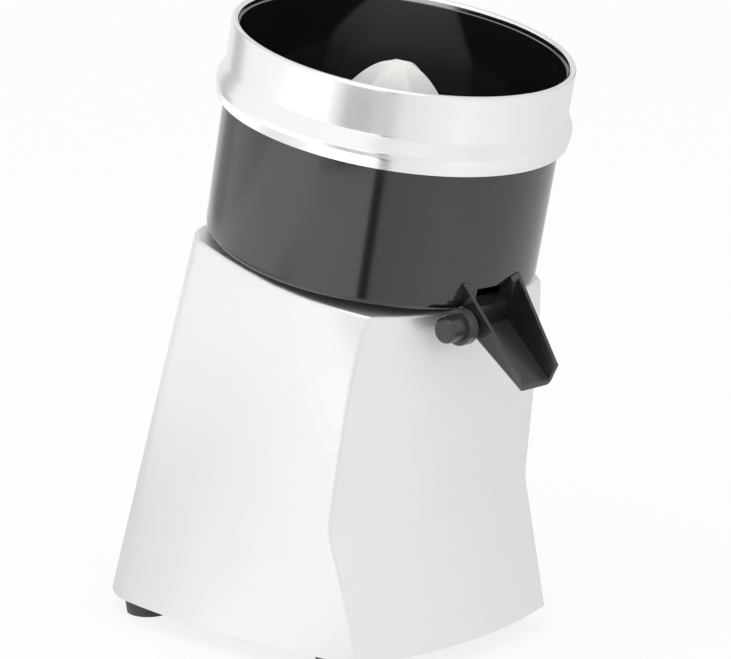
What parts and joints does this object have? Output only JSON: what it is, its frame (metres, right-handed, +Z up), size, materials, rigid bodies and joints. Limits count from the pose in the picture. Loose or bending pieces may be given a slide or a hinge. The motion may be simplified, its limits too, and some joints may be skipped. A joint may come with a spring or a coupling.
{
  "type": "citrus juicer",
  "caption": "Motor-driven citrus juicer: tapered metal body with leaning deck, black bowl with bright splash ring, ribbed squeezer, strainer and pull-off spout.",
  "frame": {"origin": "middle of the overall box, on the table under the feet", "axes": "+Z up; -Y to the front, the side of the spout; +X to the right as seen from the front, the side of the switch"},
  "size_m": [0.1904, 0.2761, 0.3507],
  "materials": {
    "bright_metal": "fine satin, bright",
    "black_plastic": "polished black",
    "pale_plastic": "smooth, pale grey",
    "strainer_plastic": "smooth, black",
    "foot_rubber": "matt rubber",
    "plate_metal": "black paint",
    "screw_steel": "machined steel",
    "cast_alloy": "plain cast alloy",
    "core_steel": "stacked sheet steel",
    "winding_wire": "varnished copper wire",
    "inner_plastic": "moulded grey",
    "switch_plastic": "moulded black"
  },
  "bodies": {
    "base": {"body_shell": "bright_metal", "base_plate": "plate_metal", "base_screws": "screw_steel", "foot_screws": "screw_steel", "foot_nuts": "screw_steel", "upper_end_shield": "cast_alloy", "lower_end_shield": "cast_alloy", "stator_core": "core_steel", "upper_winding": "winding_wire", "lower_winding": "winding_wire", "upper_bearing": "screw_steel", "lower_bearing": "screw_steel", "tie_bolts": "screw_steel", "motor_screws": "screw_steel", "shaft_seal": "foot_rubber", "locating_dowel": "screw_steel", "run_capacitor": "cast_alloy", "capacitor_clamp": "screw_steel", "terminal_block": "inner_plastic", "switch_housing": "switch_plastic", "cable_gland": "switch_plastic", "gland_nut": "switch_plastic", "foot_front_left": "foot_rubber", "foot_front_right": "foot_rubber", "foot_rear_left": "foot_rubber", "foot_rear_right": "foot_rubber"},
    "drive": {"drive_shaft": "screw_steel", "drive_pin": "screw_steel", "rotor": "core_steel", "cooling_fan": "inner_plastic", "slinger": "inner_plastic"},
    "switch_rocker": {"switch_rocker": "switch_plastic"},
    "bowl": {"bowl": "black_plastic"},
    "splash_ring": {"splash_ring": "bright_metal"},
    "strainer": {"strainer": "strainer_plastic"},
    "squeezer": {"squeezer": "pale_plastic"},
    "spout": {"spout": "black_plastic"},
    "spout_knob": {"spout_knob": "black_plastic", "knob_stud": "screw_steel"}
  },
  "joints": [
    {"name": "drive_spin", "type": "hinge", "parent": "base", "child": "drive", "pos_m": [0, -0.0146, 0.213], "axis": [0, -0.2164, 0.9763], "continuous": true},
    {"name": "rocker_tilt", "type": "hinge", "parent": "base", "child": "switch_rocker", "pos_m": [0.08402, 0.0521, 0.06483], "axis": [0.0134, -0.9977, -0.067], "range_deg": [0, 18]},
    {"name": "bowl_lift", "type": "slide", "parent": "base", "child": "bowl", "axis": [0, -0.2164, 0.9763], "range_m": [0, 0.075]},
    {"name": "ring_lift", "type": "slide", "parent": "bowl", "child": "splash_ring", "axis": [0, -0.2164, 0.9763], "range_m": [0, 0.05]},
    {"name": "strainer_lift", "type": "slide", "parent": "bowl", "child": "strainer", "axis": [0, -0.2164, 0.9763], "range_m": [0, 0.08]},
    {"name": "squeezer_spin", "type": "hinge", "parent": "strainer", "child": "squeezer", "pos_m": [0, -0.0146, 0.213], "axis": [0, -0.2164, 0.9763], "continuous": true},
    {"name": "spout_pull", "type": "slide", "parent": "bowl", "child": "spout", "axis": [0, -0.9763, -0.2164], "range_m": [0, 0.03]},
    {"name": "knob_turn", "type": "hinge", "parent": "spout", "child": "spout_knob", "pos_m": [-0.028, -0.1043, 0.19025], "axis": [-1, 0, 0], "range_deg": [0, 90]}
  ],
  "couplings": [
    {"joint": "squeezer_spin", "follows": "drive_spin", "ratio": 1}
  ]
}
